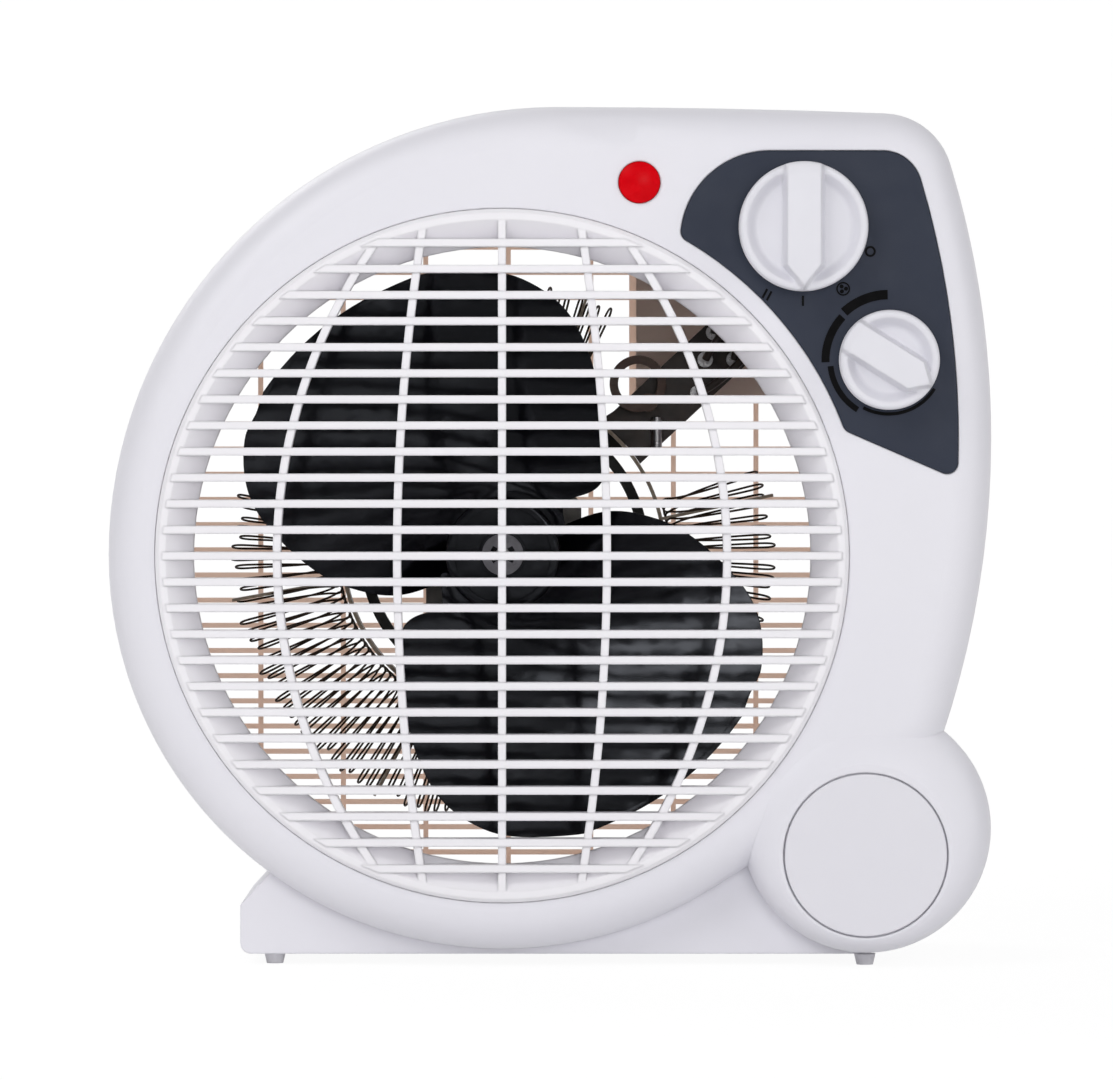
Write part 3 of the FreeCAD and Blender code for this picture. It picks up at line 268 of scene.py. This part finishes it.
wear("push_nut", grey)

# %% [markdown]
# ## Metals inside
# Shaft, screws and clips are drawn or stamped steel with fine scratches along one direction.
# The stack has a wound, slightly rusty face, and the bearings are sintered bronze.

# %% Metals inside
def metal(name, color, rough, scratch=(1, 12, 1), size=0.004):
    m = Finish(name, color, rough, metal=1.0)
    m.tint(m.noise(size * 2), tuple(c * 0.8 for c in color)).polish(size, 0.08, scratch)
    m.soften(0.0002).grain(size / 8, 0.000006, stretch=scratch)
    return m


steel = metal("bright_steel", (0.56, 0.56, 0.57), 0.30)
for name in ("motor_shaft", "rotor", "thermostat_spindle", "thermostat_frame", "terminal_tabs",
             "thermal_fuse"):
    wear(name, steel)
zinc = metal("zinc_screw", (0.42, 0.42, 0.44), 0.38, (1, 1, 6))
for name in ("case_screws", "motor_screws"):
    wear(name, zinc)
wear("stator_stack", metal("stack_steel", (0.20, 0.19, 0.18), 0.48, (1, 30, 1)))
cast = metal("cast_alloy", (0.50, 0.50, 0.51), 0.50, (1, 1, 1), 0.002)
for name in ("front_bracket", "rear_bracket"):
    wear(name, cast)
bronze = metal("bronze", (0.40, 0.26, 0.13), 0.42, (1, 1, 1), 0.001)
for name in ("front_bearing", "rear_bearing"):
    wear(name, bronze)
brass = metal("brass_tab", (0.62, 0.46, 0.20), 0.32)
for name in ("switch_tabs", "thermostat_bimetal"):
    wear(name, brass)
wear("coil_winding", metal("copper_winding", (0.40, 0.13, 0.05), 0.36, (60, 1, 1)))

# %% [markdown]
# ## Insulators and small mouldings
# Mica sheet is a mat of pressed flakes, so its colour comes from cells of a millimetre or two.
# The terminal plate is dark phenolic, and the shield in the closed corner of the back wall is a
# pale sheet whose tan colour is painted shade, the look of a pale part in the shaded back of the
# case.

# %% Insulators and small mouldings
mica = Finish("mica", (0.40, 0.33, 0.25), 0.38)
flake = mica.node("ShaderNodeTexVoronoi")
flake.inputs["Scale"].default_value = 700.0
mica.join(mica.place, flake.inputs["Vector"])
mica.tint(flake.outputs["Distance"], (0.27, 0.21, 0.15), 0.1, 0.8).polish(0.002, 0.12)
mica.grain(0.001, 0.00003)
for name in ("heater_band", "heater_vanes"):
    wear(name, mica)
nylon = Finish("natural_nylon", (0.66, 0.63, 0.55), 0.45)
nylon.tint(nylon.noise(0.01), (0.60, 0.57, 0.49)).polish(0.005, 0.06)
nylon.soften(0.0003).grain(0.0004, 0.00001)
for name in ("mode_spindle", "lamp_holder", "coil_bobbin"):
    wear(name, nylon)
dark = Finish("dark_phenolic", (0.022, 0.016, 0.013), 0.42)
dark.tint(dark.noise(0.003), (0.034, 0.022, 0.017)).polish(0.004, 0.08)
dark.soften(0.0003).grain(0.0004, 0.00002)
for name in ("switch_body", "internal_leads", "terminal_plate"):
    wear(name, dark)
brown = Finish("cutout_brown", (0.075, 0.034, 0.020), 0.35)
brown.tint(brown.noise(0.004), (0.055, 0.024, 0.014)).polish(0.004, 0.08)
brown.soften(0.0003).grain(0.0005, 0.00002)
wear("thermal_cutout", brown)
chalk = Finish("ceramic", (0.70, 0.67, 0.60), 0.60)
chalk.tint(chalk.noise(0.002), (0.62, 0.59, 0.52)).polish(0.002, 0.08).grain(0.0003, 0.00002)
wear("thermostat_insulator", chalk)
glass = Finish("lamp_glass", (0.85, 0.80, 0.75), 0.08)
glass.bsdf.inputs["Transmission Weight"].default_value = 0.8
glass.polish(0.003, 0.04).grain(0.001, 0.00001)
wear("neon_lamp", glass)
foot = Finish("foot_plastic", (0.70, 0.69, 0.73), 0.50)
foot.tint(foot.noise(0.004), (0.64, 0.63, 0.67)).polish(0.003, 0.08)
foot.soften(0.0004).grain(0.0005, 0.00003)
for name in ("feet", "cord_bush"):
    wear(name, foot)
# painted shade: the shield's tan and its darker drift stand for a pale sheet in the shade at the
# back
shield = Finish("shield_sheet", (0.94, 0.77, 0.67), 0.50)
shield.tint(shield.noise(0.03), (0.88, 0.71, 0.61)).polish(0.01, 0.06)
shield.soften(0.0003).grain(0.0005, 0.00001)
wear("heat_shield", shield)
wear("heater_posts", zinc)
left_plain = [n for n, o in nodes.items() if o.active_material and not o.active_material.use_nodes]
print("nodes left plain:", left_plain)

# %% [markdown]
# ## Knobs
# Each knob is a shallow dish with a rounded rim and a grip bar that ends in an arrow. It is
# built as one height field on a polar net: the height is the bar's where a point lies inside
# the bar's outline, and falls through a drafted side into a valley that rises again to the
# rim. One field gives the soft blends between bar, valley and rim that a mould has, which
# would be awkward to get by filleting solids.

# %% Knob height field
def ease(x):
    x = min(max(x, 0.0), 1.0)
    return x * x * (3 - 2 * x)


def outside_bar(u, v, half, top, neck, tip):
    """Distance from (u, v) to the grip bar, negative inside. The arrow points to -v."""
    u = abs(u)
    side = max(u - half, v - top)
    run = math.hypot(half, neck - tip)
    arrow = (u * (neck - tip) - (v - tip) * half) / run
    return max(side, arrow) if v < neck else side


RIM_DROP, VALLEY_DROP = 3.6 * MM, 6.4 * MM      # below the top of the grip bar
RIM_WIDE, RIM_CROWN = 2.2 * MM, 0.15 * MM
EDGE_ROUND = 1.1 * MM
BAR_DRAFT = 1.5 * MM                            # run-out of the bar's drafted side
RINGS, SPOKES = 110, 300


def knob_piece(node, body, half, pointer):
    """Turned cap for one knob: half the bar's width, and the compass angle it points to."""
    low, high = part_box(node)
    cx, cz = (low[0] + high[0]) / 2, (low[2] + high[2]) / 2
    radius = (high[0] - low[0]) / 2
    tall = high[1] - low[1]
    rim, floor = tall - RIM_DROP, tall - VALLEY_DROP
    rings, spokes = RINGS, SPOKES
    verts, faces = [], []
    turn = math.radians(pointer)
    su, sv = math.sin(turn), math.cos(turn)
    for i in range(rings + 1):
        p = radius * i / rings
        for j in range(spokes):
            a = 2 * math.pi * j / spokes
            x, z = p * math.sin(a), p * math.cos(a)
            v = -(x * su + z * sv)
            u = x * sv - z * su
            d = outside_bar(u, v, half, radius * 1.1, -radius * 0.60, -radius * 0.93)
            valley = floor + (rim - floor) * ease((p - radius + 5.2 * MM) / (3.4 * MM)) ** 1.5
            edge = max(0.0, (p - radius + EDGE_ROUND) / EDGE_ROUND)
            if p > radius - RIM_WIDE:
                valley = rim + RIM_CROWN * math.sin(math.pi * min(1.0, (radius - p) / RIM_WIDE))
            bar = tall - 0.5 * MM * ease((p / radius - 0.8) / 0.2)
            h = valley + (bar - valley) * (1 - ease((d + 0.25 * MM) / BAR_DRAFT))
            h -= EDGE_ROUND * (1 - math.sqrt(max(0.0, 1 - edge * edge)))
            verts.append((cx + x, high[1] - h, cz + z))
    for i in range(rings):
        for j in range(spokes):
            k = (j + 1) % spokes
            a, b = i * spokes, (i + 1) * spokes
            faces.append((a + j, b + j, b + k, a + k))
    last = rings * spokes
    base = len(verts)
    for j in range(spokes):
        x, y, z = verts[last + j]
        verts.append((x, high[1], z))
    for j in range(spokes):
        k = (j + 1) % spokes
        faces.append((last + j, base + j, base + k, last + k))
    faces.append(tuple(base + j for j in range(spokes)))
    mesh = bpy.data.meshes.new(node + "_cap")
    mesh.from_pydata(verts, [], faces)
    mesh.update()
    for poly in mesh.polygons[:-1]:
        poly.use_smooth = True
    piece = bpy.data.objects.new(node + "_cap", mesh)
    bpy.context.collection.objects.link(piece)
    bpy.context.view_layer.objects.active = piece
    mesh.materials.append(knob.mat)
    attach(piece, body)
    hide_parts(node)
    print(piece.name, "radius %.1f mm, %d faces" % (radius / MM, len(faces)))
    return piece


knob_piece("mode_knob", "mode_dial", 4.7 * MM, 180.0)
knob_piece("thermostat_knob", "thermostat_dial", 4.3 * MM, 122.0)

# %% [markdown]
# ## Heating element
# The open element is resistance wire bent into hairpins that reach out from the mica band like
# the teeth of a comb, one leg on the front of the vanes and one on the back. The wire is
# springy and hand-threaded, so no two hairpins are quite alike: each gets its own small errors
# in reach and angle from a seeded generator. A smooth spline rounds the tips, and the heat has
# turned the bright alloy a dull brown.

# %% Heating element
element = Finish("element_wire", (0.032, 0.021, 0.015), 0.52, metal=0.35)
element.bsdf.inputs["Specular IOR Level"].default_value = 0.25
element.tint(element.noise(0.006), (0.060, 0.037, 0.024)).polish(0.003, 0.1).grain(0.0004, 0.00002)
front_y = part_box("heating_wire_front")[0][1]
rear_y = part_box("heating_wire_rear")[1][1]
inner, outer = 46.9 * MM, 76.2 * MM             # where the hairpins start and how far they reach
first, last_angle, step = 66.0, 379.0, 2.25     # degrees round the fan axis
WIRE_R = 0.31 * MM
CROSS = 4.5 * MM                                # the two legs cross this far out from the band
TIP = 6.0 * MM                                  # the bend takes up the last part of the reach
rng = random.Random(7)
curve = bpy.data.curves.new("element_wire", "CURVE")
curve.dimensions = "3D"
curve.bevel_depth = WIRE_R
curve.bevel_resolution = 2
curve.resolution_u = 5
path = []


def spot(r, angle, y):
    t = math.radians(angle)
    return (AXIS[0] + r * math.cos(t), y, AXIS[2] + r * math.sin(t))


count = int((last_angle - first) / step)
for i in range(count):
    a = first + i * step
    reach = outer + rng.uniform(-1.6, 1.2) * MM
    lean = rng.uniform(-0.45, 0.45)
    mid = (front_y + rear_y) / 2 + rng.uniform(-1.2, 1.2) * MM
    path += [spot(inner, a + 2.6, front_y),
             spot(inner + CROSS, a + 0.7, front_y),
             spot(reach - TIP, a + 0.15 + lean, front_y + 1.0 * MM),
             spot(reach, a + 0.2 + lean, mid - 2 * MM),
             spot(reach, a + 1.0 + lean, mid + 2 * MM),
             spot(reach - TIP, a + 1.05 + lean, rear_y - 1.0 * MM),
             spot(inner + CROSS, a + 0.7, rear_y),
             spot(inner, a - 1.3, rear_y)]
spline = curve.splines.new("NURBS")
spline.points.add(len(path) - 1)
for point, place in zip(spline.points, path):
    point.co = (*place, 1.0)
spline.order_u = 3
spline.use_endpoint_u = True
wire = bpy.data.objects.new("element_wire", curve)
bpy.context.collection.objects.link(wire)
curve.materials.append(element.mat)
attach(wire, "housing")
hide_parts("heating_wire_front", "heating_wire_rear")
print("hairpins", count)

# %% [markdown]
# ## Studio
# A seamless white sweep, one large soft light high on the left, a fill on the right, a weak one
# in front just above the lens, a long low strip that lifts the shade under the chin, and one
# behind that shines through the rear bars. The sweep's white is for the lens and for
# reflections only, and its floor keeps a faint contact shadow. It is see-through from its
# back, so the back of the heater can be looked at as well. The camera looks straight at the
# front from about two metres, through a long lens, so the far grille is seen only a little
# smaller than the near one.

# %% Studio
def panel_light(name, place, aim, size, watts, color=(1, 1, 1)):
    lamp = bpy.data.lights.new(name, "AREA")
    lamp.shape = "RECTANGLE"
    lamp.size, lamp.size_y = size
    lamp.energy = watts
    lamp.color = color
    holder = bpy.data.objects.new(name, lamp)
    bpy.context.collection.objects.link(holder)
    holder.location = place
    holder.rotation_euler = (Vector(aim) - Vector(place)).to_track_quat("-Z", "Y").to_euler()
    return holder


centre = (0.0, 0.0, 0.12)
panel_light("key", (-0.9, -1.2, 1.25), centre, (1.0, 1.0), 10.6)
panel_light("fill", (1.35, -0.8, 0.6), centre, (0.8, 1.1), 3.9)
panel_light("front", (0.40, -2.15, 0.55), centre, (0.7, 0.6), 5.6)
strip = panel_light("low", (0.0, -1.6, 0.12), (0.0, 0.0, 0.05), (1.8, 0.18), 4.6)
strip.visible_glossy = False
panel_light("back", (-0.6, 0.9, 1.0), centre, (0.8, 0.8), 5.0)

mesh = bpy.data.meshes.new("sweep")
half, depth, rise, r, steps = 2.5, 1.1, 2.2, 0.5, 14
profile = [(-2.8, 0.0), (depth - r, 0.0)]
profile += [(depth - r + r * math.sin(t), r - r * math.cos(t))
            for t in [math.pi / 2 * i / steps for i in range(1, steps + 1)]]
profile.append((depth, rise))
verts = [(x, y, z) for y, z in profile for x in (-half, half)]
faces = [(2 * i, 2 * i + 1, 2 * i + 3, 2 * i + 2) for i in range(len(profile) - 1)]
mesh.from_pydata(verts, [], faces)
for p in mesh.polygons:
    p.use_smooth = True
sweep = bpy.data.objects.new("sweep", mesh)
bpy.context.collection.objects.link(sweep)
paper = Finish("sweep_paper", (0.92, 0.92, 0.92), 0.85)
paper.polish(0.2, 0.03)
glow = paper.node("ShaderNodeEmission")
glow.inputs["Strength"].default_value = 1.04
ray = paper.node("ShaderNodeLightPath")
seen = paper.node("ShaderNodeMath", operation="ADD", use_clamp=True)
paper.join(ray.outputs["Is Camera Ray"], seen.inputs[0])
paper.join(ray.outputs["Is Glossy Ray"], seen.inputs[1])
seen_all = paper.node("ShaderNodeMath", operation="ADD", use_clamp=True)
paper.join(seen.outputs["Value"], seen_all.inputs[0])
paper.join(ray.outputs["Is Transmission Ray"], seen_all.inputs[1])
share = paper.node("ShaderNodeMath", operation="MULTIPLY")
share.inputs[1].default_value = 0.90
paper.join(seen_all.outputs["Value"], share.inputs[0])
blend = paper.node("ShaderNodeMixShader")
paper.join(share.outputs["Value"], blend.inputs["Fac"])
paper.join(paper.bsdf.outputs["BSDF"], blend.inputs[1])
paper.join(glow.outputs["Emission"], blend.inputs[2])
side = paper.node("ShaderNodeNewGeometry")
clear = paper.node("ShaderNodeBsdfTransparent")
one_way = paper.node("ShaderNodeMixShader")
paper.join(side.outputs["Backfacing"], one_way.inputs["Fac"])
paper.join(blend.outputs["Shader"], one_way.inputs[1])
paper.join(clear.outputs["BSDF"], one_way.inputs[2])
paper.join(one_way.outputs["Shader"], paper.nt.nodes["Material Output"].inputs["Surface"])
mesh.materials.append(paper.mat)

world = bpy.data.worlds.new("studio")
world.use_nodes = True
sky = world.node_tree
room = sky.nodes["Background"]
room.inputs["Color"].default_value = (1.0, 1.0, 1.0, 1.0)
room.inputs["Strength"].default_value = 0.31
white = sky.nodes.new("ShaderNodeBackground")
white.inputs["Color"].default_value = (1.0, 1.0, 1.0, 1.0)
white.inputs["Strength"].default_value = 1.0
path_kind = sky.nodes.new("ShaderNodeLightPath")
either = sky.nodes.new("ShaderNodeMixShader")
sky.links.new(path_kind.outputs["Is Camera Ray"], either.inputs["Fac"])
sky.links.new(room.outputs["Background"], either.inputs[1])
sky.links.new(white.outputs["Background"], either.inputs[2])
sky.links.new(either.outputs["Shader"], sky.nodes["World Output"].inputs["Surface"])
bpy.context.scene.world = world
scene = bpy.context.scene
scene.view_settings.view_transform = "Standard"
scene.view_settings.look = "None"

camera = bpy.data.objects.new("camera", bpy.data.cameras.new("camera"))
bpy.context.collection.objects.link(camera)
DISTANCE, VIEW_WIDTH, SENSOR = 2.0, 0.3061, 0.036
camera.location = (0.0029, FRONT - DISTANCE, 0.1478)
look = Vector((0.0019, FRONT, 0.1181))
camera.rotation_euler = (look - camera.location).to_track_quat("-Z", "Y").to_euler()
camera.data.sensor_width = SENSOR * 1000
camera.data.lens = SENSOR * 1000 * DISTANCE / VIEW_WIDTH
scene.camera = camera
print("lens %.0f mm" % camera.data.lens)
